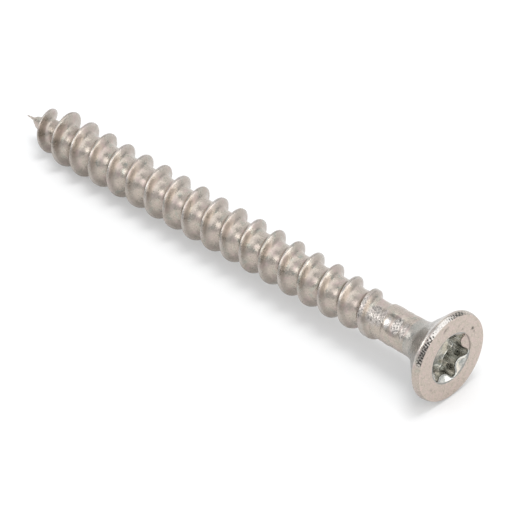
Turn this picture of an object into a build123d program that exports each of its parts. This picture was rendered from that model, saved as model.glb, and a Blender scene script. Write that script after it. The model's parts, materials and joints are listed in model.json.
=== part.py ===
from build123d import *
import os
from math import atan2, cos, degrees, exp, pi, radians, sin, tan

# A countersunk wood screw with a coarse single-start right-hand thread, a gimlet point and a six-lobe
# drive. It is drawn along its own axis, with the flat of the head at zero and the point at the negative
# end, and is then laid down on the rim of its head and a crest of its thread.

# Whole screw
length = 49.55

# Head
head_d = 8.06
edge_break = 0.08
back_edge_r = 0.25
rim_height = 0.7
countersink_angle = 90.0
neck_fillet = 2.0

# Neck, plain from the head down to where the thread has run out
neck_d = 3.35
unthreaded_length = 7.04

# Thread: its ridge has a narrow land, steep flanks down to a knee and a foot that runs out into the core
thread_d = 4.5
core_d = 2.9
pitch = 2.237
land_width = 0.16
knee_width = 0.7
knee_rise = 0.22
foot_width = 1.25

# Thread's run-out into the neck, where the ridge falls and its land widens, and the core's step up to it
fade_drop = 0.4
fade_turns = 1.35
run_out_turns = 0.45
run_out_land = 0.45
land_turns = 2.5
full_ridge = 0.3
step_length = 0.7
step_to_run_out = 0.31

# Gimlet point: a needle that flares into a spike, the core's taper, and the thread that climbs it
tip_r = 0.05
needle_r = 0.1
needle_length = 0.55
needle_flare = 1.6
spike_r = 0.38
spike_length = 1.12
taper_length = 7.0
start_turns = 0.5
start_crest_r = 1.68

# First full turns, which stand a little proud of the rest
swell = 0.08
swell_from = 2.0
swell_turns = 3.0

# Facets round each turn of thread, and rows of them down the needle's flare
steps = 32
flare_rows = 3

# Six-lobe drive
across_lobes = 4.5
across_ridges = 3.26
lobe_tip_r = 0.39
drive_depth = 1.75
drive_point_depth = 0.5
flare_margin = 0.05
flare_depth = 0.4

# How the screw lies: the way that is up, turned about its axis from where the thread runs out
up_angle = 48.4

head_r = head_d / 2
neck_r = neck_d / 2
thread_r = thread_d / 2
core_r = core_d / 2
thread_end_z = -unthreaded_length
step_end_z = thread_end_z - step_to_run_out
spike_z = spike_length - length
needle_z = needle_length - length
turns = (thread_end_z - spike_z) / pitch


def ease(x):
    x = min(max(x, 0.0), 1.0)
    return x * x * (3 - 2 * x)


# Heights along the screw are turns of the thread, counted back from its run-out
def height(turn):
    return thread_end_z + turn * pitch


def core_radius(z):
    if z < spike_z:
        flare = max(0.0, (z - needle_z) / (spike_z - needle_z))
        return needle_r + (spike_r - needle_r) * flare**needle_flare
    left = max(0.0, 1 - (z - spike_z) / taper_length)
    tapered = core_r - (core_r - spike_r) * left**2
    return tapered + (neck_r - core_r) * ease(1 + (z - step_end_z) / step_length)


def crest_radius(turn):
    begun = turn + turns
    full = thread_r + swell * (1 - ease((begun - swell_from) / swell_turns))
    full -= fade_drop * exp(turn / fade_turns)
    full = neck_r + (full - neck_r) * ease(-turn / run_out_turns)
    climb = (start_crest_r - spike_r) * sin(pi / 2 * min(1.0, begun / start_turns))
    return spike_r + climb + (full - start_crest_r) * ease(begun - start_turns)


def land(turn):
    return land_width + (run_out_land - land_width) * ease(1 + turn / land_turns)


def around(turn, r, z):
    return Vector(r * cos(2 * pi * turn), r * sin(2 * pi * turn), z)


def ring(turn, r, z):
    return [around(turn + n / steps, r, z) for n in range(steps + 1)]


def thread_line(side, width, rise):
    # One line along the ridge: side is -1 towards the point and 1 towards the head, width is at that
    # line and rise is its share of the ridge's height. The lines meet where the ridge starts and ends.
    line = [around(-turns, spike_r, spike_z)]
    for n in range(1, round(turns * steps)):
        turn = n / steps - turns
        tall = crest_radius(turn) - core_radius(height(turn))
        wide = (width + land(turn) - land_width) * min(1.0, tall / full_ridge, -turn / run_out_turns)
        z = height(turn) + side * wide / 2
        line.append(around(turn, core_radius(z) + rise * (crest_radius(turn) - core_radius(z)), z))
    return line + [around(0, neck_r, thread_end_z)]


def skin(low, high):
    # Facets between two lines, with none where the lines meet
    facets = []
    for a, b, c, d in zip(low, low[1:], high[1:], high):
        for corners in ((a, b, d), (b, c, d)):
            if len({tuple(round(x, 6) for x in corner) for corner in corners}) == 3:
                facets.append(Face(Wire.make_polygon(corners, close=True)))
    return facets


# Threaded stretch: the ridge and the core between its turns, the needle, and the step up to the neck
lines = [thread_line(-1, foot_width, 0.0), thread_line(-1, knee_width, knee_rise)]
lines += [thread_line(side, land_width, 1.0) for side in (-1, 1)]
lines += [thread_line(1, knee_width, knee_rise), thread_line(1, foot_width, 0.0)]
rings = [ring(-turns, tip_r, -length), ring(-turns, needle_r, needle_z)]
for n in range(1, flare_rows + 1):
    z = needle_z + (spike_z - needle_z) * n / flare_rows
    rings.append(ring(-turns, core_radius(z), z))
end_ring = ring(0, neck_r, thread_end_z)

facets = skin(lines[-1][:-steps], lines[0][steps:])
for low, high in zip(lines, lines[1:]):
    facets += skin(low, high)
for low, high in zip(rings, rings[1:] + [lines[0][: steps + 1]]):
    facets += skin(low, high)
facets += skin(lines[-1][-steps - 1 :], end_ring)
for loop in (rings[0], end_ring):
    facets.append(Face(Wire.make_polygon(loop[:-1], close=True)))
threaded = Solid(Shell(facets))
print("threaded stretch", len(facets), "facets", round(threaded.volume, 2), threaded.is_valid)

# Head and neck, turned, with a fillet under the countersink, a rounded back edge and a broken front edge
slope = radians(countersink_angle / 2)
cone_end_z = -rim_height - (head_r - neck_r) / tan(slope)
rounded = back_edge_r * tan(slope / 2)
cone_edge = (head_r - rounded * sin(slope), -rim_height - rounded * cos(slope))
round_middle = (head_r - back_edge_r * (1 - cos(slope / 2)), -rim_height + rounded - back_edge_r * sin(slope / 2))
round_end = (head_r, -rim_height + rounded)
with BuildPart() as head:
    with BuildSketch(Plane.XZ):
        with BuildLine():
            FilletPolyline((neck_r, thread_end_z), (neck_r, cone_end_z), cone_edge, radius=neck_fillet)
            ThreePointArc(cone_edge, round_middle, round_end)
            Polyline(
                round_end, (head_r, -edge_break), (head_r - edge_break, 0), (0, 0),
                (0, thread_end_z), (neck_r, thread_end_z),
            )
        make_face()
    revolve(axis=Axis.Z)

# Six-lobe drive: round lobes joined by round ridges, with a flared mouth and a pointed floor
lobe_at = across_lobes / 2 - lobe_tip_r
inner = across_ridges / 2
ridge_at = (inner**2 - lobe_at**2 - 2 * inner * lobe_tip_r + lobe_tip_r**2) / (
    2 * (inner - lobe_tip_r - lobe_at * cos(radians(30)))
)
ridge_r = ridge_at - inner


def polar(r, angle):
    return Vector(r * cos(radians(angle)), r * sin(radians(angle)))


def touch(lobe_angle, ridge_angle):
    lobe = polar(lobe_at, lobe_angle)
    return lobe + (polar(ridge_at, ridge_angle) - lobe) * (lobe_tip_r / (lobe_tip_r + ridge_r))


with BuildPart() as drive:
    with BuildSketch(Plane.XY):
        with BuildLine():
            for angle in range(0, 360, 60):
                before = touch(angle, angle - 30)
                after = touch(angle, angle + 30)
                ThreePointArc(before, polar(across_lobes / 2, angle), after)
                ThreePointArc(after, polar(inner, angle + 30), touch(angle + 60, angle + 30))
        make_face()
    extrude(amount=-drive_depth)
    with BuildSketch(Plane.XZ):
        Polygon(
            (0, 0), (across_lobes / 2 + flare_margin, 0), (inner, -flare_depth), (inner, -drive_depth),
            (0, -drive_depth - drive_point_depth), align=None,
        )
    revolve(axis=Axis.Z)

turned = head.part - drive.part
screw = threaded.fuse(turned.solid())
print("screw", type(screw), len(screw.solids()), "solids")

# Laid on the floor: it pivots on the back edge of its rim until a crest near the point comes down
down = up_angle / 360 - 0.5
drops = []
for n in range(int(turns + down)):
    turn = down - n
    drops.append(atan2(head_r - crest_radius(turn), round_end[1] - height(turn)))
tilt = min(drop for drop in drops if drop > 0)
axis_way = Vector(cos(tilt), 0, sin(tilt))
up_way = Vector(-sin(tilt), 0, cos(tilt))
side_way = axis_way.cross(up_way)
first_way = up_way * cos(radians(up_angle)) - side_way * sin(radians(up_angle))
screw = Plane(origin=(0, 0, 0), x_dir=first_way, z_dir=axis_way).location * screw
box = screw.bounding_box()
screw = Pos(-box.center().X, -box.center().Y, -box.min.Z) * screw
print("tilt", round(degrees(tilt), 3), "box", screw.bounding_box())
print("screw", round(screw.volume, 2), screw.is_valid, len(screw.faces()), "faces")

os.makedirs("parts", exist_ok=True)
export_step(screw, "parts/screw.step")
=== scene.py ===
import json
import math

import bmesh
import bpy
import numpy as np
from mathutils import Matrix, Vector


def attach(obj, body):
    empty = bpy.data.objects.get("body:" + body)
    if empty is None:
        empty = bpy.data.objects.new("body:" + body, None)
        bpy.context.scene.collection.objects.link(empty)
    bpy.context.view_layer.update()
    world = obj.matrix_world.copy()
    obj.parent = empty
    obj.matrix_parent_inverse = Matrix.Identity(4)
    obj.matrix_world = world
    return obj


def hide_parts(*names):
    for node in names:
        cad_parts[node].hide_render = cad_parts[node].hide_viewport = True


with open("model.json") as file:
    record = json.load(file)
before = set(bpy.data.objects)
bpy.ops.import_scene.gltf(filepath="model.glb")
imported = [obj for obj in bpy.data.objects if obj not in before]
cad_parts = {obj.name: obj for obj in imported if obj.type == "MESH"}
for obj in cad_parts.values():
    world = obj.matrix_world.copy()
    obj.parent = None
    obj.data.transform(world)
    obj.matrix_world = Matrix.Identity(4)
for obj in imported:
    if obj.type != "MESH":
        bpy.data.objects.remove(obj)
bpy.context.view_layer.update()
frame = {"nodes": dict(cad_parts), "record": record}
print("frame loaded:", sorted(frame["nodes"]))

# The screw is worked out in millimetres along its own axis: the flat of the head is at zero, the point at the
# negative end, and an angle is a share of a turn from the place where the thread has run out into the neck.
# The sizes that the record's mounts give come from there.
mm = 0.001
twoPi = 2 * math.pi
mounts = {mount["name"]: mount for mount in frame["record"]["mounts"]}

placing = {
    "upAngle": 48.4,  # degrees from that place to the side that lies uppermost
}
headCentre = Vector(mounts["drive"]["pos_m"])
axisWay = Vector(mounts["drive"]["axis"]).normalized()
sideWay = axisWay.cross(Vector((0, 0, 1))).normalized()
upWay = sideWay.cross(axisWay)
turnedBy = math.radians(placing["upAngle"])
firstWay = upWay * math.cos(turnedBy) - sideWay * math.sin(turnedBy)
secondWay = axisWay.cross(firstWay)

neck = {
    "radius": mounts["neck"]["dims"]["r_mm"],
    "unthreaded": 7.04,  # from the flat of the head to the end of the thread
    "top": -3.9,  # height where the neck goes over into the fillet under the head
    "rows": 36,
    "rippleEvery": 1.08,  # the dies leave shallow right-hand waves on the neck, which die away near its top
    "rippleStart": 0.1,
    "rippleHeight": 0.014,
    "smoothOver": 0.8,
    "sunk": 0.015,  # the waves lie this much lower, so that the neck stays inside the plain one
    "dents": (  # height, whole waves round, radians a millimetre along, start
        (0.012, 1, 1.3, 0.0),
        (0.008, 2, -3.1, 1.0),
        (0.004, 0, 9.3, 0.4),
    ),
    # Beyond the thread its groove runs on a little, up to an edge that follows the same helix. Both go by
    # degrees round: the edge's height, and the groove's share of the step up to the neck.
    "edge": (
        (0, -7.0), (36, -6.8), (90, -6.45), (150, -6.12), (200, -6.35), (270, -6.9), (330, -7.1), (360, -7.0),
    ),
    "groove": ((0, 1.0), (36, 0.9), (90, 0.5), (150, 0.3), (216, 0.0), (318, 0.0), (360, 1.0)),
    "edgeLength": 0.45,
    # Rough patches where the dies tore the zinc: height, degrees round, half height, half angle, depth
    "galled": (
        (-8.9, 94, 0.4, 36, 0.02),
        (-7.6, 92, 0.6, 34, 0.02),
        (-6.75, 88, 0.3, 28, 0.018),
        (-5.05, 88, 0.42, 26, 0.024),
        (-4.2, 92, 0.3, 26, 0.018),
        (-7.4, 290, 0.8, 40, 0.014),
        (-5.2, 215, 0.6, 25, 0.012),
    ),
    "fullyGalled": 0.02,  # depth at which a patch is as rough as can be
    "galledSoot": 0.5,  # how dark such a patch is in its hollows, and how bright all over
    "galledShine": 0.6,
    "hollowsBelow": -0.1875,  # blotches lower than this count as hollows, the more so the lower they are
    "hollowsSteep": 1.6,
    "burnishAndPaintedShine": (  # smooth patches, paler where the neck mirrors its brightest lamp, so partly a painted highlight; in the same terms, with how strong they are
        (-5.98, 93, 0.26, 17, 1.0),
        (-6.9, 100, 0.12, 20, 0.6),
    ),
    # Painted reflection: dark lines along the neck, above and below its highlight, where it mirrors darker
    # surroundings; height, degrees round, half height, half angle, how dark
    "paintedDarkReflections": (
        (-5.6, 66, 0.6, 6, 0.4),
        (-5.3, 117, 0.6, 6, 0.35),
        (-6.4, 108, 0.1, 24, 0.35),
        (-7.3, 64, 0.5, 5, 0.3),
    ),
    "patchReach": 1.6,  # square of the distance, in half sizes, at which a patch has faded
    "patchEnd": 0.15,  # length over which all patches fade below the top
    "darkening": 0.1,  # painted shade: how much the zinc darkens towards the head, under its overhang, from which height, and over which length
    "darkeningFrom": -4.7,
    "darkeningOver": 0.8,
}

thread = {
    "radius": mounts["thread"]["dims"]["r_mm"],
    "coreRadius": 1.45,
    "pitch": 2.237,
    "columns": 120,  # facets round each turn
    # The ridge is a bell with a rounded crest and a hollow root. It is drawn at these distances from its
    # middle, and at half a pitch, where its foot has come down to the core.
    "drawnAt": (0.0, 0.028, 0.055, 0.09, 0.13, 0.17, 0.215, 0.265, 0.32, 0.38, 0.45, 0.53, 0.63, 0.76, 0.93),
    "crestRound": 0.12,
    "bellHalf": 0.19,
    "bellPower": 1.2,
    "footLength": 0.3,
    "seamHalf": 0.055,  # the seam that rolling leaves along the crest, between two lips
    "seamShare": 0.05,
    "valley": 0.055,  # height of the wave that hollows the core between two turns, and its lift as a share
    "valleyLift": 0.8,
    "valleyStart": (1.0, 4.0),  # distance from the spike's end, and the length over which the hollows deepen
    "valleyEnd": (0.9, 1.6),  # and the same from the end of the thread
    "fadeDrop": 0.4,  # the ridge falls, widens and runs out towards the neck
    "fadeTurns": 1.35,
    "runOutTurns": 0.45,
    "runOutWidth": 0.5,  # share of its width that the ridge keeps at its very end
    "closeTurns": 0.1,  # over which its height closes there
    "landWidth": 0.16,
    "runOutLand": 0.45,
    "landTurns": 2.5,
    "fullRidge": 0.3,  # height from which the ridge has its full width
    "narrowest": 0.02,
    "stepLength": 0.7,  # the core's step up to the neck
    "stepToEnd": 0.31,
    "swell": 0.08,  # the first full turns stand a little proud
    "swellFrom": 2.0,
    "swellTurns": 3.0,
    "waver": (  # the crest's height wavers: height, none round, radians a turn, start
        (0.01, 0, 5.1, 0.0),
        (0.008, 0, 13.7, 1.0),
        (0.004, 0, 41.0, 2.0),
    ),
    "steadyBelow": 0.1,  # a ridge lower than this doesn't
    "lowSide": 0.055,  # the last turns are lower on one side, by twice this
    "lowSideTurns": 3,
    "burnishAndPaintedShine": 0.38,  # how bright the crest is, with its waves in the same terms
    "burnishedWaves": ((0.13, 0, 9.0, 0.0), (0.13, 0, 31.0, 0.0), (0.1, 0, 77.0, 0.0)),
    "burnishedFrom": 0.55,  # share of the ridge's height where that starts, and over which it grows
    "burnishedOver": 0.35,
    "flankRidge": 0.4,  # height from which a ridge has the finish of full flanks
    "tarnishedOver": 0.4,  # share of the ridge's height, from its foot, over which the painted shade sets in
    "tarnished": (  # degrees round, and how much the ridge is painted darker there: painted shade, deepest from 112 to 180 degrees, the side that faces down towards the shadowed floor
        (0, 0.13), (52, 0.15), (66, 0.02), (95, 0.0), (112, 0.2), (180, 0.17), (210, 0.04), (320, 0.06),
        (360, 0.13),
    ),
}

point = {
    "length": 49.55,  # of the whole screw
    "tipRadius": 0.05,
    "tipRound": 0.0015,
    "needleRadius": 0.1,  # the needle flares into a spike, on whose end the thread starts
    "needleLength": 0.55,
    "needleFlare": 1.6,
    "spikeRadius": 0.38,
    "spikeLength": 1.12,
    "taperLength": 7.0,  # over which the core behind the spike grows to its full size
    "startTurns": 0.5,  # over which the crest climbs to the radius that follows
    "startCrest": 1.68,
}

pitch = thread["pitch"]
columns = thread["columns"]
threadEnd = -neck["unthreaded"]
stepEnd = threadEnd - thread["stepToEnd"]
spikeZ = point["spikeLength"] - point["length"]
needleZ = point["needleLength"] - point["length"]
turns = round((threadEnd - spikeZ) / pitch * columns) / columns  # in whole facets, so that its ends close
ringTurns = np.arange(columns + 1) / columns


def ease(x):
    x = np.clip(x, 0.0, 1.0)
    return x * x * (3 - 2 * x)


def wave(parts, turn, along):
    return sum(
        height * np.sin(twoPi * rounds * turn + pace * along + start) for height, rounds, pace, start in parts
    )


def roundTable(pairs, turn):
    # pairs are degrees round the screw and a value there
    degrees, values = zip(*pairs)
    return np.interp(turn % 1 * 360, degrees, values)


def torn(turn, z):
    # Uneven blotches a quarter of a millimetre across, between -1 and 1
    a = np.sin(twoPi * 23 * turn + 13.0 * z + 2 * np.sin(twoPi * 4 * turn))
    b = np.sin(twoPi * 11 * turn - 19.0 * z + 1.3)
    c = np.sin(twoPi * 33 * turn + 7.0 * z + 2.1) * np.sin(25.0 * z + 4 * np.sin(twoPi * 3 * turn))
    return np.clip((a + b) / 2 + c, -1, 1)


def patchesAt(patches, turn, z):
    # How strong the patches are at a place, nought outside them
    strength = 0.0
    for middle, degrees, halfHeight, halfAngle, most in patches:
        around = (turn - degrees / 360 + 0.5) % 1 - 0.5
        far = ((z - middle) / halfHeight) ** 2 + (around * 360 / halfAngle) ** 2
        strength = np.maximum(strength, most * ease(neck["patchReach"] - far))
    return strength * ease((neck["top"] - z) / neck["patchEnd"])


def heightAt(turn):
    return threadEnd + turn * pitch


def needleAt(z):
    flare = np.clip((z - needleZ) / (spikeZ - needleZ), 0, 1)
    flared = (point["spikeRadius"] - point["needleRadius"]) * flare ** point["needleFlare"]
    sharp = 1 - ease((z + point["length"]) / point["needleLength"])
    return point["needleRadius"] + flared - (point["needleRadius"] - point["tipRadius"]) * sharp


def coreAt(turn, z):
    # Radius of the screw without its ridge, from the tip to the top of the neck
    coreRadius = thread["coreRadius"]
    left = np.clip(1 - (z - spikeZ) / point["taperLength"], 0, 1)
    tapered = coreRadius - (coreRadius - point["spikeRadius"]) * left**2
    step = ease(1 + (z - stepEnd) / thread["stepLength"])
    grooveStep = ease(1 + (z - roundTable(neck["edge"], turn)) / neck["edgeLength"])
    step = step + roundTable(neck["groove"], turn) * (grooveStep - step)
    waved = ease((neck["top"] - z) / neck["smoothOver"])
    shank = tapered + (neck["radius"] - neck["sunk"] - coreRadius) * step + neck["sunk"] * step * (1 - waved)
    ripple = np.abs(np.cos(math.pi * (z / neck["rippleEvery"] - turn - neck["rippleStart"]))) * 2 - 1
    shank = shank + (neck["rippleHeight"] * ripple + wave(neck["dents"], turn, z)) * step * waved
    shank = shank + torn(turn, z) * patchesAt(neck["galled"], turn, z)
    valleys = thread["valley"] * (thread["valleyLift"] + np.cos(twoPi * ((z - threadEnd) / pitch - turn)))
    startAt, startOver = thread["valleyStart"]
    endAt, endOver = thread["valleyEnd"]
    valleys = valleys * ease((z - spikeZ - startAt) / startOver) * ease((threadEnd - endAt - z) / endOver)
    return np.where(z < spikeZ, needleAt(z), shank + valleys)


def crestAt(turn):
    begun = turn + turns
    swell = thread["swell"] * (1 - ease((begun - thread["swellFrom"]) / thread["swellTurns"]))
    full = thread["radius"] + swell - thread["fadeDrop"] * np.exp(turn / thread["fadeTurns"])
    full = neck["radius"] + (full - neck["radius"]) * ease(-turn / thread["runOutTurns"])
    climbed = np.sin(math.pi / 2 * np.clip(begun / point["startTurns"], 0, 1))
    climb = (point["startCrest"] - point["spikeRadius"]) * climbed
    return point["spikeRadius"] + climb + (full - point["startCrest"]) * ease(begun - point["startTurns"])


def ridgeShare(along, wider):
    # Height of the ridge, from 0 at its foot to 1 on its crest, at a distance along the axis from its middle
    away = np.maximum(np.abs(along) - wider, 0)
    seam = thread["seamShare"] * np.clip(1 - (away / thread["seamHalf"]) ** 2, 0, 1)
    rounded = np.sqrt(away**2 + thread["crestRound"] ** 2) - thread["crestRound"]
    bell = (1 - seam) * np.exp(-((rounded / thread["bellHalf"]) ** thread["bellPower"]))
    return bell * ease((pitch / 2 - np.abs(along)) / thread["footLength"])


verts, wearAndPaintedLightLists, faces, kinds = [], [], [], []
rolledSteel, trimmedRim, headFlat, recess, underHead = range(5)  # finishes, in the order of the materials
bareZinc = (0.0, 0.0, 0.0, 0.0)  # burnish with painted shine, soot with painted shade, how galled, and how much of a thread's flank


def wearAndPaintedLightAt(turn, z, burnishAndPaintedShine=0.0, flank=0.0):
    galled = patchesAt(neck["galled"], turn, z) / neck["fullyGalled"]
    hollows = ease(neck["hollowsSteep"] * (neck["hollowsBelow"] - torn(turn, z)))
    # The neck's painted dark reflections add to the soot in the hollows of its galled patches
    sootAndShade = neck["galledSoot"] * galled * hollows + patchesAt(neck["paintedDarkReflections"], turn, z)
    # Painted highlights on the neck join the burnish of the crest and of the galled patches
    burnishAndPaintedShine = np.maximum(burnishAndPaintedShine + patchesAt(neck["burnishAndPaintedShine"], turn, z), neck["galledShine"] * galled)
    return np.stack(np.broadcast_arrays(burnishAndPaintedShine, sootAndShade, galled, flank), axis=-1)


# Only the dark channel: soot, specks and painted shade
def darkeningOnly(sootAndShade):
    return np.stack(np.broadcast_arrays(0.0, sootAndShade, 0.0, 0.0), axis=-1)


def addPoints(points, wearAndPaintedLight):
    start = sum(len(v) for v in verts)
    verts.append(points.reshape(-1, 3))
    wearAndPaintedLightLists.append(np.broadcast_to(wearAndPaintedLight, points.shape[:-1] + (4,)).reshape(-1, 4))
    return start


def addGrid(grid, kind, wearAndPaintedLight=bareZinc):
    # grid is rows by columns by xyz, in millimetres, and kind is a finish for all its cells or for each
    rows, across = grid.shape[:2]
    start = addPoints(grid, wearAndPaintedLight)
    index = start + np.arange(rows * across).reshape(rows, across)
    corners = [index[:-1, :-1], index[:-1, 1:], index[1:, 1:], index[1:, :-1]]
    faces.extend(np.stack(corners, axis=-1).reshape(-1, 4).tolist())
    kinds.append(np.broadcast_to(kind, (rows - 1, across - 1)).ravel())


def addStitch(coarse, fine, kind, wearAndPaintedLight=bareZinc):
    # Cells that join a ring of few points to a ring of many
    start = addPoints(np.concatenate([coarse, fine]), wearAndPaintedLight)
    per = (len(fine) - 1) // (len(coarse) - 1)
    for n in range(len(coarse) - 1):
        alongFine = [start + len(coarse) + n * per + k for k in range(per, -1, -1)]
        faces.append([start + n, start + n + 1] + alongFine)
    kinds.append(np.full(len(coarse) - 1, kind))


def onSurface(turn, r, z):
    turn, r, z = np.broadcast_arrays(turn, r, z)
    return np.stack([r * np.cos(twoPi * turn), r * np.sin(twoPi * turn), z], axis=-1)


def turnedRows(outline):
    points = np.array(outline)
    return onSurface(ringTurns[None, :], points[:, 0, None], points[:, 1, None])


def arcPoints(centre, r, start, end, steps):
    angles = np.radians(np.linspace(start, end, steps))
    return [(centre[0] + r * math.cos(a), centre[1] + r * math.sin(a)) for a in angles]


oneSide = list(thread["drawnAt"]) + [pitch / 2]
offsets = np.array([-x for x in oneSide[:0:-1]] + oneSide)
threadLow = heightAt(-turns) - pitch / 2
threadHigh = threadEnd + pitch / 2


def windThread():
    # A strip one pitch wide that winds up the core
    strip = np.append(-turns + np.arange(round(turns * columns)) / columns, 0.0)[:, None]
    along = heightAt(strip) + offsets[None, :]
    tall = crestAt(strip) - coreAt(strip, heightAt(strip))
    wide = np.minimum(tall / thread["fullRidge"], thread["runOutWidth"] - strip / thread["runOutTurns"])
    wide = np.clip(wide, thread["narrowest"], 1)
    wider = (thread["runOutLand"] - thread["landWidth"]) / 2 * ease(1 + strip / thread["landTurns"])
    ridge = ridgeShare(offsets[None, :] / wide, wider)
    waver = wave(thread["waver"], 0, strip)
    waver = waver - thread["lowSide"] * (1 + np.cos(twoPi * strip)) * ease(1 + strip / thread["lowSideTurns"])
    wavering = np.clip(tall + np.where(tall > thread["steadyBelow"], waver, 0), 0, None)
    stands = wavering * ease(-strip / thread["closeTurns"]) * ridge
    burnishAndPaintedShine = thread["burnishAndPaintedShine"] + wave(thread["burnishedWaves"], 0, strip)
    burnishAndPaintedShine = burnishAndPaintedShine * ease((ridge - thread["burnishedFrom"]) / thread["burnishedOver"])
    burnishAndPaintedShine = burnishAndPaintedShine * ease(tall / thread["fullRidge"])
    flank = 4 * ridge * (1 - ridge) * ease(tall / thread["flankRidge"])
    wearAndPaintedLight = wearAndPaintedLightAt(strip, along, burnishAndPaintedShine, flank)
    # Painted shade on the ridges, by degrees round, goes into the dark channel
    wearAndPaintedLight[..., 1] += ease(ridge / thread["tarnishedOver"]) * roundTable(thread["tarnished"], strip)
    addGrid(onSurface(strip, coreAt(strip, along) + stands, along), rolledSteel, wearAndPaintedLight)


def squareOffThread():
    # Two wedges of core, one turn long, between the strip's slanting ends and a level ring
    share = (offsets + pitch / 2) / pitch
    startTurns = -turns + ringTurns[:, None]
    startZ = threadLow + (heightAt(startTurns) - pitch / 2 - threadLow) * share[None, :]
    addGrid(onSurface(startTurns, coreAt(startTurns, startZ), startZ), rolledSteel)
    endTurns = ringTurns[:, None] - 1
    endLow = heightAt(endTurns) + pitch / 2
    endZ = endLow + (threadHigh - endLow) * share[None, :]
    addGrid(onSurface(endTurns, coreAt(endTurns, endZ), endZ), rolledSteel, wearAndPaintedLightAt(endTurns, endZ))


windThread()
squareOffThread()
print("thread wound:", round(turns, 2), "turns")

head = {
    "radius": mounts["countersink"]["dims"]["r_mm"],
    "clearance": 0.001,  # by which the rim stays inside the plain one
    "rim": 0.7,
    "backRound": 0.25,
    "backSteps": 6,
    "coneAngle": 90.0,
    "fillet": 2.0,
    "filletSteps": 12,
    "coneShares": (0.2, 0.4, 0.6, 0.8),  # of the countersink's length, at which it is drawn
    "underHeadShade": 0.16,  # painted shade: how much darker the zinc is under the head
    "underHeadShadeRows": (4, 8),  # row of the fillet where that starts, and rows over which it deepens
    "trimmed": 0.42,  # the front of the rim, cut to size after the head was forged, leans in towards the flat
    "trimSteps": 12,
    "lean": 0.1,
    "leanPower": 1.35,
    "edgeRound": 0.03,
    "edgeSteps": 4,
    "blend": 0.03,  # height over which the finishes of the rim change
    "polishedBack": 0.5,  # depth below the flat from which the rim's back edge is polished and painted pale, and over which
    "backOver": 0.05,
    "rimColumns": 5,  # facets on the rim for each facet elsewhere
    "toothDepth": 0.016,  # of the marks that the cut left along the rim
    "toothSpread": 1.7,  # how fast they grow with their share of the rim, and how soft their edges are
    "toothSoft": 0.6,
    "marksAndShade": (  # degrees round, and share of the rim that its marks darken there: the marks are real, but how far they darken each angle also paints the shade that the rim mirrors from the floor beside the screw
        (0, 0.1), (18, 0.15), (26, 0.7), (40, 0.65), (49, 0.35), (53, 0.08), (72, 0.08), (80, 0.45),
        (90, 0.72), (104, 0.74), (115, 0.62), (122, 0.0), (196, 0.0), (205, 0.5), (251, 0.45), (262, 0.08),
        (312, 0.05), (330, 0.4), (360, 0.25),
    ),
    "polishAndPaintedShine": (  # degrees round, and how bright the cut left the rim there: real polish, and a painted highlight where the rim mirrors the lamps
        (0, 0.0), (28, 0.1), (38, 0.4), (47, 1.0), (74, 1.0), (86, 0.7), (100, 0.5), (118, 0.5), (122, 0.0),
        (200, 0.0), (215, 0.7), (250, 0.7), (262, 0.1), (330, 0.2), (360, 0.0),
    ),
    "flatBorder": 0.25,  # width of the cells that join the flat to the finer rim
    "flatRows": 17,
    "speckReach": 1.5,  # distance, in half sizes, at which a speck has faded
    "specks": (  # marks on the flat: degrees round, distance out, half size, how dark
        (350, 3.05, 0.14, 0.85), (341, 3.02, 0.11, 0.45), (17, 2.62, 0.12, 0.35), (30, 2.95, 0.1, 0.3),
        (62.5, 3.3, 0.12, 0.4), (59, 3.38, 0.12, 0.6), (55.5, 3.43, 0.12, 0.4), (176, 3.12, 0.12, 0.35),
    ),
}

drive = {
    "lobeReach": mounts["drive"]["dims"]["r_mm"],
    "depth": mounts["drive"]["dims"]["length_mm"],
    "acrossRidges": 3.26,
    "lobeTip": 0.39,
    "floorDepth": 0.5,
    "floorRound": 0.12,
    "floorSteps": 5,
    "floorShares": (0.85, 0.7, 0.5, 0.3, 0.12, 0.0),  # of the floor's radius, at which its cone is drawn
    "flareMargin": 0.05,
    "flareDepth": 0.4,
    "flareTaper": 0.5,  # how the flare's cone goes on below it, inside the walls
    "drawnAt": (  # depths of the rows of the flare and the walls
        0.0, 0.012, 0.03, 0.06, 0.1, 0.15, 0.2, 0.25, 0.3, 0.35, 0.4, 0.46, 0.6, 0.8, 1.0, 1.2, 1.4, 1.55,
    ),
    "blend": 0.14,  # width over which the flare goes over into the walls
    "zinc": 0.02,  # how much the plating narrows both
    "lip": (0.06, 0.02),  # distance out from the mouth of the first two rows, which round its edge
    "paintedLipShade": 0.6,  # painted shade: a thin dark line just inside the mouth, where it turns down into the recess; how dark, how deep, half height
    "paintedLipShadeAt": 0.02,
    "paintedLipShadeHalf": 0.035,
    "paintedLitFlareFrom": 303,  # degrees round, beyond which the flare keeps the paler finish of the head's flat: painted light on that part of the flare
}

headRadius = head["radius"] - head["clearance"]
slope = math.radians(head["coneAngle"] / 2)
filletReach = head["fillet"] * math.tan(slope / 2)
backReach = head["backRound"] * math.tan(slope / 2)
filletStart = -head["rim"] - (headRadius - neck["radius"]) / math.tan(slope) - filletReach
mouth = drive["lobeReach"] + drive["flareMargin"]
flatStart = mouth + drive["lip"][0]
fineTurns = np.arange(columns * head["rimColumns"] + 1) / (columns * head["rimColumns"])


def turnNeck():
    rows = np.linspace(threadHigh, filletStart, neck["rows"])[:, None]
    wearAndPaintedLight = wearAndPaintedLightAt(ringTurns[None, :], rows)
    # Painted shade on the neck, deepening towards the head
    wearAndPaintedLight[..., 1] += neck["darkening"] * ease((rows - neck["darkeningFrom"]) / neck["darkeningOver"])
    addGrid(onSurface(ringTurns[None, :], coreAt(ringTurns[None, :], rows), rows), rolledSteel, wearAndPaintedLight)


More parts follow.
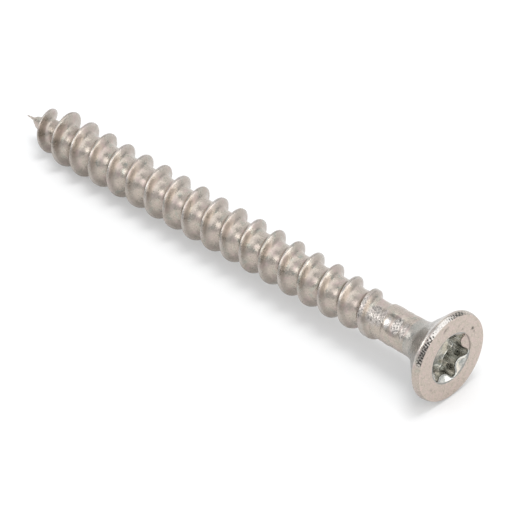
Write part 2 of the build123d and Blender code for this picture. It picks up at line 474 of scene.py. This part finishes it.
def turnUnderHead():
    # The fillet and the countersink, and where the last row stands
    centre = (neck["radius"] + head["fillet"], filletStart)
    rows = arcPoints(centre, head["fillet"], 180, 180 - head["coneAngle"] / 2, head["filletSteps"])
    coneEnd = (headRadius - backReach * math.sin(slope), -head["rim"] - backReach * math.cos(slope))
    rows += [tuple(a + (b - a) * s for a, b in zip(rows[-1], coneEnd)) for s in head["coneShares"]]
    # Painted shade, deepening up the fillet towards the head
    startRow, overRows = head["underHeadShadeRows"]
    sootAndShade = head["underHeadShade"] * ease((np.arange(len(rows)) - startRow) / overRows)[:, None]
    grid = turnedRows(rows)
    addGrid(grid, underHead, darkeningOnly(sootAndShade))
    return grid[-1]


def rimOutline():
    # From the rounded back edge up to the leaning band that was trimmed, and over the front edge
    backTop = backReach - head["rim"]
    trimmed, edgeRound = head["trimmed"], head["edgeRound"]
    centre = (headRadius - head["backRound"], backTop)
    outline = arcPoints(centre, head["backRound"], -head["coneAngle"] / 2, 0, head["backSteps"])
    outline += [(headRadius, backTop - (backTop + trimmed) * s) for s in (0.5, 1.0)]
    for s in np.linspace(0, 1, head["trimSteps"])[1:]:
        leaning = headRadius - head["lean"] * s ** head["leanPower"]
        outline.append((leaning, -trimmed + (trimmed - edgeRound) * s))
    faceEdge = headRadius - head["lean"] - edgeRound
    outline += arcPoints((faceEdge, -edgeRound), edgeRound, 0, 90, head["edgeSteps"])[1:]
    return np.array(outline), faceEdge


def toothMarks(turn, z):
    # Slanted, uneven teeth along the rim, between -1 and 1
    sway = 9 * z * np.sin(twoPi * 3 * turn + 1)
    a = np.sin(twoPi * 127 * turn + sway + 2 * np.sin(twoPi * 11 * turn))
    b = np.sin(twoPi * 83 * turn - 13 * z + 3 * np.sin(twoPi * 7 * turn))
    c = np.sin(twoPi * 39 * turn + 21 * z + 2 * np.sin(twoPi * 5 * turn))
    return (a + b + 0.8 * c) / 2.8


def turnRimAndFlat(underEnd):
    outline, faceEdge = rimOutline()
    rimZ = outline[:, 1, None]
    blend = head["blend"]
    onTrim = ease((rimZ + head["trimmed"] + blend) / (2 * blend)) * ease(-rimZ / blend)
    onBack = ease((-rimZ - head["polishedBack"]) / head["backOver"])
    marksAndShade = roundTable(head["marksAndShade"], fineTurns)[None, :]
    marks = toothMarks(fineTurns[None, :], rimZ) - 1 + head["toothSpread"] * marksAndShade
    sootAndShade = ease(marks / head["toothSoft"] + 0.5)
    sootAndShade = sootAndShade * (marksAndShade > 0) * onTrim
    # The rim is paler where it is polished: partly a painted highlight
    bright = roundTable(head["polishAndPaintedShine"], fineTurns)[None, :] * np.maximum(onTrim * (1 - sootAndShade), onBack)
    rim = onSurface(fineTurns[None, :], outline[:, 0, None] - head["toothDepth"] * sootAndShade, rimZ)
    # The cells between the countersink and the rim keep the painted shade under the head
    addStitch(underEnd, rim[0], underHead, (0.0, head["underHeadShade"], 0.0, 0.0))
    addGrid(rim, trimmedRim, np.stack(np.broadcast_arrays(bright, sootAndShade, 0.0, 0.0), axis=-1))

    radii = np.linspace(faceEdge - head["flatBorder"], flatStart, head["flatRows"])
    flat = turnedRows([(r, 0.0) for r in radii])
    specked = np.zeros(flat.shape[:2])
    for degrees, out, size, dark in head["specks"]:
        a = math.radians(degrees)
        away = np.hypot(flat[..., 0] - out * math.cos(a), flat[..., 1] - out * math.sin(a))
        specked = np.maximum(specked, dark * ease(head["speckReach"] - away / size))
    addStitch(flat[0], rim[-1], headFlat)
    addGrid(flat, headFlat, darkeningOnly(specked))


def lobeOutline(turn):
    # Radius of the six-lobe outline: round lobes joined by round ridges that touch them
    tip = drive["lobeTip"]
    lobeAt = drive["lobeReach"] - tip
    inner = drive["acrossRidges"] / 2
    apart = math.radians(30)  # from a lobe to a ridge
    clear = inner - tip
    ridgeAt = (clear**2 - lobeAt**2) / (2 * (clear - lobeAt * math.cos(apart)))
    ridgeRound = ridgeAt - inner
    folded = np.abs((turn * 6 + 0.5) % 1 - 0.5) * 2 * apart
    outward = lobeAt * np.cos(folded) + np.sqrt(np.clip(tip**2 - (lobeAt * np.sin(folded)) ** 2, 0, None))
    fromRidge = apart - folded
    under = np.clip(ridgeRound**2 - (ridgeAt * np.sin(fromRidge)) ** 2, 0, None)
    inward = ridgeAt * np.cos(fromRidge) - np.sqrt(under)
    touchX = lobeAt + (ridgeAt * math.cos(apart) - lobeAt) * tip / (tip + ridgeRound)
    touchY = ridgeAt * math.sin(apart) * tip / (tip + ridgeRound)
    return np.where(folded < math.atan2(touchY, touchX), outward, inward)


def softMax(a, b, blend):
    return (a + b + np.sqrt((a - b) ** 2 + blend**2)) / 2


def sinkRecess():
    # The flared mouth and the lobed walls, and then the pointed floor
    inner = drive["acrossRidges"] / 2
    floorZ, floorRound = -drive["depth"], drive["floorRound"]
    depths = np.append(drive["drawnAt"], drive["depth"] - floorRound)[:, None]
    flared = inner + (mouth - inner) * np.clip(1 - depths / drive["flareDepth"], 0, 1)
    flared = flared - drive["flareTaper"] * np.clip(depths - drive["flareDepth"], 0, None)
    walls = softMax(lobeOutline(ringTurns)[None, :], flared, drive["blend"]) - drive["zinc"]
    walls[0] = flatStart
    walls[1] = np.maximum(walls[1], mouth + drive["lip"][1])
    # Painted shade along the mouth's inner edge
    paintedLipShade = drive["paintedLipShade"] * ease(1 - np.abs(depths - drive["paintedLipShadeAt"]) / drive["paintedLipShadeHalf"])
    # Painted light: the flare's last sector takes the flat's paler finish
    paintedLitFlare = (depths[:-1] < drive["flareDepth"]) & (ringTurns[None, :-1] > drive["paintedLitFlareFrom"] / 360)
    grid = onSurface(ringTurns[None, :], walls, -depths)
    addGrid(grid, np.where(paintedLitFlare, headFlat, recess), darkeningOnly(paintedLipShade))

    rows = [(walls[-1], -depths[-1, 0])]
    for a in np.linspace(0, math.pi / 2, drive["floorSteps"] + 1)[1:]:
        rows.append((walls[-1] - floorRound * (1 - math.cos(a)), floorZ + floorRound * (1 - math.sin(a))))
    for s in drive["floorShares"]:
        r = rows[drive["floorSteps"]][0] * s
        rows.append((r, floorZ - drive["floorDepth"] * np.clip(1 - r / inner, 0, 1)))
    addGrid(np.array([onSurface(ringTurns, r, z) for r, z in rows]), recess)


def closeTip():
    # A small round end below the first wedge
    radius = coreAt(0.0, threadLow).item()
    rounded = min(radius, point["tipRound"])
    rows = [(radius * math.cos(a), threadLow - rounded * math.sin(a)) for a in (math.pi / 2, 1.0, 0.5, 0)]
    addGrid(turnedRows(rows), rolledSteel)


turnNeck()
turnRimAndFlat(turnUnderHead())
sinkRecess()
closeTip()
print("head and recess turned")

meshing = {
    "weld": 2e-7,  # metres within which points become one
    "sliver": 1e-7,  # metres below which an edge goes
}


def buildScrew(name):
    points = np.concatenate(verts)
    wearAndPaintedLight = np.concatenate(wearAndPaintedLightLists)
    ways = np.array([list(firstWay), list(secondWay), list(axisWay)])
    world = points @ ways * mm + np.array(list(headCentre))
    mesh = bpy.data.meshes.new(name)
    mesh.from_pydata(world.tolist(), [], faces)
    for attribute, values in (("screwSpace", points), ("wearAndPaintedLight", wearAndPaintedLight[:, :3])):
        own = mesh.attributes.new(attribute, "FLOAT_VECTOR", "POINT")
        own.data.foreach_set("vector", values.astype(np.float32).ravel())
    own = mesh.attributes.new("flank", "FLOAT", "POINT")
    own.data.foreach_set("value", wearAndPaintedLight[:, 3].astype(np.float32))
    mesh.polygons.foreach_set("material_index", np.concatenate(kinds).astype(np.int32))
    made = bmesh.new()
    made.from_mesh(mesh)
    bmesh.ops.remove_doubles(made, verts=made.verts, dist=meshing["weld"])
    bmesh.ops.dissolve_degenerate(made, edges=made.edges, dist=meshing["sliver"])
    bmesh.ops.recalc_face_normals(made, faces=made.faces)
    for face in made.faces:
        face.smooth = True
    made.to_mesh(mesh)
    openEdges = sum(1 for e in made.edges if len(e.link_faces) != 2)
    print(name, len(made.verts), "points", len(made.faces), "faces", openEdges, "open edges")
    made.free()
    piece = bpy.data.objects.new(name, mesh)
    bpy.context.scene.collection.objects.link(piece)
    return piece


screw = buildScrew("zinc_plated_screw")
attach(screw, "root")
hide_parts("screw")


def toLinear(hexColour):
    def one(c):
        c /= 255
        return c / 12.92 if c <= 0.04045 else ((c + 0.055) / 1.055) ** 2.4

    return tuple(one(int(hexColour[i : i + 2], 16)) for i in (1, 3, 5)) + (1.0,)


def addNode(tree, kind, settings=None, links=None):
    # One shader node: settings go to its properties or its inputs, links join other sockets to its inputs
    node = tree.nodes.new(kind)
    for key, value in (settings or {}).items():
        if isinstance(key, str) and hasattr(node, key) and key not in node.inputs:
            setattr(node, key, value)
        else:
            node.inputs[key].default_value = value
    for key, socket in (links or {}).items():
        tree.links.new(socket, node.inputs[key])
    return node


def newMaterial(name):
    material = bpy.data.materials.new(name)
    material.use_nodes = True
    tree = material.node_tree
    tree.nodes.clear()
    return material, tree


colourA, colourB, colourOut = 6, 7, 2  # the mix node's sockets for colours
cloudSpan = (0.35, 0.65)  # what most of a noise lies between, for its coarse and its fine form
grainSpan = (0.25, 0.75)


def zincPlate(name, look):
    # Burnished places, and places given a painted shine, are paler and shine more; sooty places and painted
    # shade are dark; galled ones have a coarser grain
    material, tree = newMaterial(name)
    place = addNode(tree, "ShaderNodeAttribute", {"attribute_name": "screwSpace"}).outputs["Vector"]
    wearAndPaintedLight = addNode(tree, "ShaderNodeAttribute", {"attribute_name": "wearAndPaintedLight"}).outputs["Vector"]
    worn = addNode(tree, "ShaderNodeSeparateXYZ", links={"Vector": wearAndPaintedLight}).outputs
    burnishAndPaintedShine, sootAndShade, galled = worn["X"], worn["Y"], worn["Z"]
    flank = addNode(tree, "ShaderNodeAttribute", {"attribute_name": "flank"}).outputs["Fac"]
    cloud = addNode(
        tree, "ShaderNodeTexNoise",
        {"Scale": 1 / look["cloudSize"], "Detail": 3.0, "Roughness": 0.5}, {"Vector": place},
    ).outputs["Fac"]
    grain = addNode(
        tree, "ShaderNodeTexNoise",
        {"Scale": 1 / look["grainSize"], "Detail": 2.0, "Roughness": 0.6}, {"Vector": place},
    ).outputs["Fac"]

    film = addNode(tree, "ShaderNodeValToRGB", links={"Fac": cloud})
    stops = look["filmStops"]
    ends = film.color_ramp.elements
    for end, (stop, colour) in zip(ends, (stops[0], stops[-1])):
        end.position, end.color = stop, toLinear(colour)
    for stop, colour in stops[1:-1]:
        ends.new(stop).color = toLinear(colour)
    shade = addNode(
        tree, "ShaderNodeMapRange",
        {
            "From Min": grainSpan[0], "From Max": grainSpan[1],
            "To Min": 1 - look["mottle"], "To Max": 1 + look["mottle"],
        },
        {"Value": grain},
    ).outputs["Result"]
    tone = addNode(
        tree, "ShaderNodeVectorMath",
        {"operation": "SCALE"}, {"Vector": film.outputs["Color"], "Scale": shade},
    ).outputs["Vector"]
    # Painted light on the flanks, with burnish and painted shine, mixes towards the pale colour
    pale = addNode(
        tree, "ShaderNodeMath",
        {"operation": "MULTIPLY_ADD", "use_clamp": True, 1: look["flankPaintedLight"]}, {0: flank, 2: burnishAndPaintedShine},
    ).outputs["Value"]
    polishAndPaintedShine = addNode(
        tree, "ShaderNodeMix",
        {"data_type": "RGBA", colourB: toLinear(look["polishAndPaintedShine"])}, {"Factor": pale, colourA: tone},
    ).outputs[colourOut]
    colour = addNode(
        tree, "ShaderNodeMix",
        {"data_type": "RGBA", colourB: toLinear(look["darkening"])}, {"Factor": sootAndShade, colourA: polishAndPaintedShine},
    ).outputs[colourOut]

    rough = addNode(
        tree, "ShaderNodeMapRange",
        {
            "From Min": cloudSpan[0], "From Max": cloudSpan[1],
            "To Min": look["roughLow"], "To Max": look["roughHigh"],
        },
        {"Value": cloud},
    ).outputs["Result"]
    rough = addNode(
        tree, "ShaderNodeMath", {"operation": "MULTIPLY_ADD", 1: look["flankRough"]}, {0: flank, 2: rough}
    ).outputs["Value"]
    rough = addNode(
        tree, "ShaderNodeMix",
        {"data_type": "FLOAT", "B": look["polishedRough"]}, {"Factor": burnishAndPaintedShine, "A": rough},
    ).outputs["Result"]

    bump = addNode(
        tree, "ShaderNodeBump", {"Strength": 1.0, "Distance": look["grainHeight"] * mm}, {"Height": grain}
    ).outputs["Normal"]
    bump = addNode(
        tree, "ShaderNodeBump",
        {"Distance": look["galledHeight"] * mm}, {"Height": grain, "Strength": galled, "Normal": bump},
    ).outputs["Normal"]
    shader = addNode(
        tree, "ShaderNodeBsdfPrincipled",
        {"Metallic": 1.0}, {"Base Color": colour, "Roughness": rough, "Normal": bump},
    )
    addNode(tree, "ShaderNodeOutputMaterial", links={"Surface": shader.outputs["BSDF"]})
    return material


# Bright zinc, barrel plated and clear passivated, on rolled steel: a warm grey satin whose film drifts from
# greenish grey over tan to a pinkish grey. Sizes and heights are in millimetres. The real grain is finer than
# the render can show, so it is drawn as coarse as it needs to show.
zincLook = {
    "filmStops": ((0.3, "#ABA99F"), (0.43, "#B5ABA0"), (0.55, "#B8ADA3"), (0.7, "#BEADA7")),
    "cloudSize": 0.6,
    "mottle": 0.16,
    # The pale colour of burnish, which also paints highlights on the neck and rim, and the dark colour of
    # soot, which also paints shade
    "polishAndPaintedShine": "#CFC9C4",
    "darkening": "#2E2C2A",
    "roughLow": 0.2,
    "roughHigh": 0.36,
    # Painted light: the steep flanks are paler, to lift the dark they mirror from neighbouring ridges
    "flankPaintedLight": 0.1,
    "flankRough": 0.06,
    "polishedRough": 0.16,
    "grainSize": 0.15,
    "grainHeight": 0.018,
    "galledHeight": 0.02,
}
# The same zinc on the rim, which a cut has left nearly mirror bright between its grey marks; its paler polish
# colour also paints the rim's highlight
rimLook = dict(zincLook, polishAndPaintedShine="#D0CBC6", polishedRough=0.1, darkening="#4A4744")
# On the flat, which the forging die pressed: paler, smoother and more evenly satin
flatLook = dict(
    zincLook, filmStops=((0.3, "#B8AFA2"), (0.5, "#C4B7AD"), (0.7, "#CBBAB3")), cloudSize=0.4,
    roughLow=0.27, roughHigh=0.4, grainHeight=0.006,
)
# In the recess, which a polished punch pressed: pale, a little green, with sharp glints
recessLook = dict(
    zincLook, filmStops=((0.3, "#BBBEB8"), (0.7, "#D2CEC8")), roughLow=0.13, roughHigh=0.24, grainHeight=0.004
)
# On the fillet and the countersink, under the head: a duller, cooler grey
underLook = dict(zincLook, filmStops=((0.3, "#A5A49E"), (0.55, "#AFAAA3"), (0.7, "#B3AAA4")))
for name, look in (
    ("zincOnRolledSteel", zincLook),
    ("zincOnTrimmedRim", rimLook),
    ("zincOnHeadFlat", flatLook),
    ("zincInRecess", recessLook),
    ("zincUnderHead", underLook),
):
    screw.data.materials.append(zincPlate(name, look))
print("zinc plated")

floorLook = {"size": 3.0, "colour": "#CACACA", "roughness": 0.6, "glow": 0.2}


def whiteAcrylic():
    # Opal acrylic sheet over a light table: a matt white that glows a little and mirrors nothing
    material, tree = newMaterial("whiteAcrylic")
    shader = addNode(
        tree, "ShaderNodeBsdfPrincipled",
        {
            "Base Color": toLinear(floorLook["colour"]),
            "Roughness": floorLook["roughness"],
            "Specular IOR Level": 0.0,
            "Emission Color": (1.0, 1.0, 1.0, 1.0),
            "Emission Strength": floorLook["glow"],
        },
    )
    addNode(tree, "ShaderNodeOutputMaterial", links={"Surface": shader.outputs["BSDF"]})
    return material


def buildFloor():
    half = floorLook["size"] / 2
    corners = [(-half, -half, 0), (half, -half, 0), (half, half, 0), (-half, half, 0)]
    mesh = bpy.data.meshes.new("floor")
    mesh.from_pydata(corners, [], [(0, 1, 2, 3)])
    mesh.materials.append(whiteAcrylic())
    floor = bpy.data.objects.new("floor", mesh)
    bpy.context.scene.collection.objects.link(floor)


buildFloor()

studio = {
    "surround": "#D1D4D7",  # a pale tent, seen grey where no lamp reaches it
    "surroundStrength": 1.0,
    "lampDistance": 0.9,
    "lamps": (
        # name, azimuth from +X towards +Y, elevation, width, height, how bright it looks, colour
        ("ceiling", -34.0, 66.0, 1.0, 1.0, 0.88, "#FFFFFF"),
        ("topBack", 112.0, 68.0, 0.7, 0.5, 0.8, "#FFFFFF"),
        ("lowStrip", 40.0, 8.0, 0.3, 0.22, 2.4, "#FFFFFF"),
        ("headSide", 12.0, 28.0, 0.9, 0.6, 0.95, "#FFEFDE"),
        ("leftWindow", -141.0, 30.0, 0.42, 0.45, 1.8, "#FFFFFF"),
        ("leftTop", -110.0, 52.0, 0.7, 0.5, 0.35, "#FFFFFF"),
        ("back", 133.0, 28.0, 1.9, 1.0, 0.42, "#FFFFFF"),
        ("spot", 70.0, 84.0, 0.36, 0.36, 7.4, "#FFFFFF"),
    ),
    "notMirrored": ("spot",),  # lights the floor and throws the shadow, but the metal doesn't mirror it
}


def buildStudio():
    world = bpy.data.worlds.new("studio")
    bpy.context.scene.world = world
    world.use_nodes = True
    tree = world.node_tree
    tree.nodes.clear()
    surround = {"Color": toLinear(studio["surround"]), "Strength": studio["surroundStrength"]}
    sky = addNode(tree, "ShaderNodeBackground", surround)
    addNode(tree, "ShaderNodeOutputWorld", links={"Surface": sky.outputs["Background"]})
    for name, azimuth, elevation, width, height, bright, colour in studio["lamps"]:
        data = bpy.data.lights.new(name, "AREA")
        data.shape = "RECTANGLE"
        data.size, data.size_y = width, height
        data.energy = bright * math.pi * width * height
        data.color = toLinear(colour)[:3]
        lamp = bpy.data.objects.new(name, data)
        a, e = math.radians(azimuth), math.radians(elevation)
        way = Vector((math.cos(a) * math.cos(e), math.sin(a) * math.cos(e), math.sin(e)))
        lamp.location = way * studio["lampDistance"]
        lamp.rotation_mode = "QUATERNION"
        lamp.rotation_quaternion = way.to_track_quat("Z", "Y")
        lamp.visible_camera = False
        lamp.visible_glossy = name not in studio["notMirrored"]
        bpy.context.scene.collection.objects.link(lamp)


buildStudio()

view = {
    "azimuth": 43.81,
    "elevation": 40.05,
    "pixels": 512,
    "focalPixels": 4800.6,
    "headPixel": (451.3, 358.3),  # where the middle of the head's flat shows
    "distance": 0.39026,
    "sensor": 36.0,
}


def buildCamera():
    a, e = math.radians(view["azimuth"]), math.radians(view["elevation"])
    back = Vector((math.sin(a) * math.cos(e), -math.cos(a) * math.cos(e), math.sin(e)))
    right = Vector((math.cos(a), math.sin(a), 0))
    up = back.cross(right)
    perPixel = view["distance"] / view["focalPixels"]
    middle = view["pixels"] / 2
    aside = right * (view["headPixel"][0] - middle) - up * (view["headPixel"][1] - middle)
    data = bpy.data.cameras.new("camera")
    data.sensor_width = view["sensor"]
    data.lens = view["focalPixels"] / view["pixels"] * view["sensor"]
    data.clip_start, data.clip_end = 0.01, 10
    camera = bpy.data.objects.new("camera", data)
    camera.location = headCentre - aside * perPixel + back * view["distance"]
    camera.rotation_mode = "QUATERNION"
    camera.rotation_quaternion = (-back).to_track_quat("-Z", "Y")
    bpy.context.scene.collection.objects.link(camera)
    bpy.context.scene.camera = camera


buildCamera()
bpy.context.scene.view_settings.view_transform = "Standard"
print("studio and camera set")
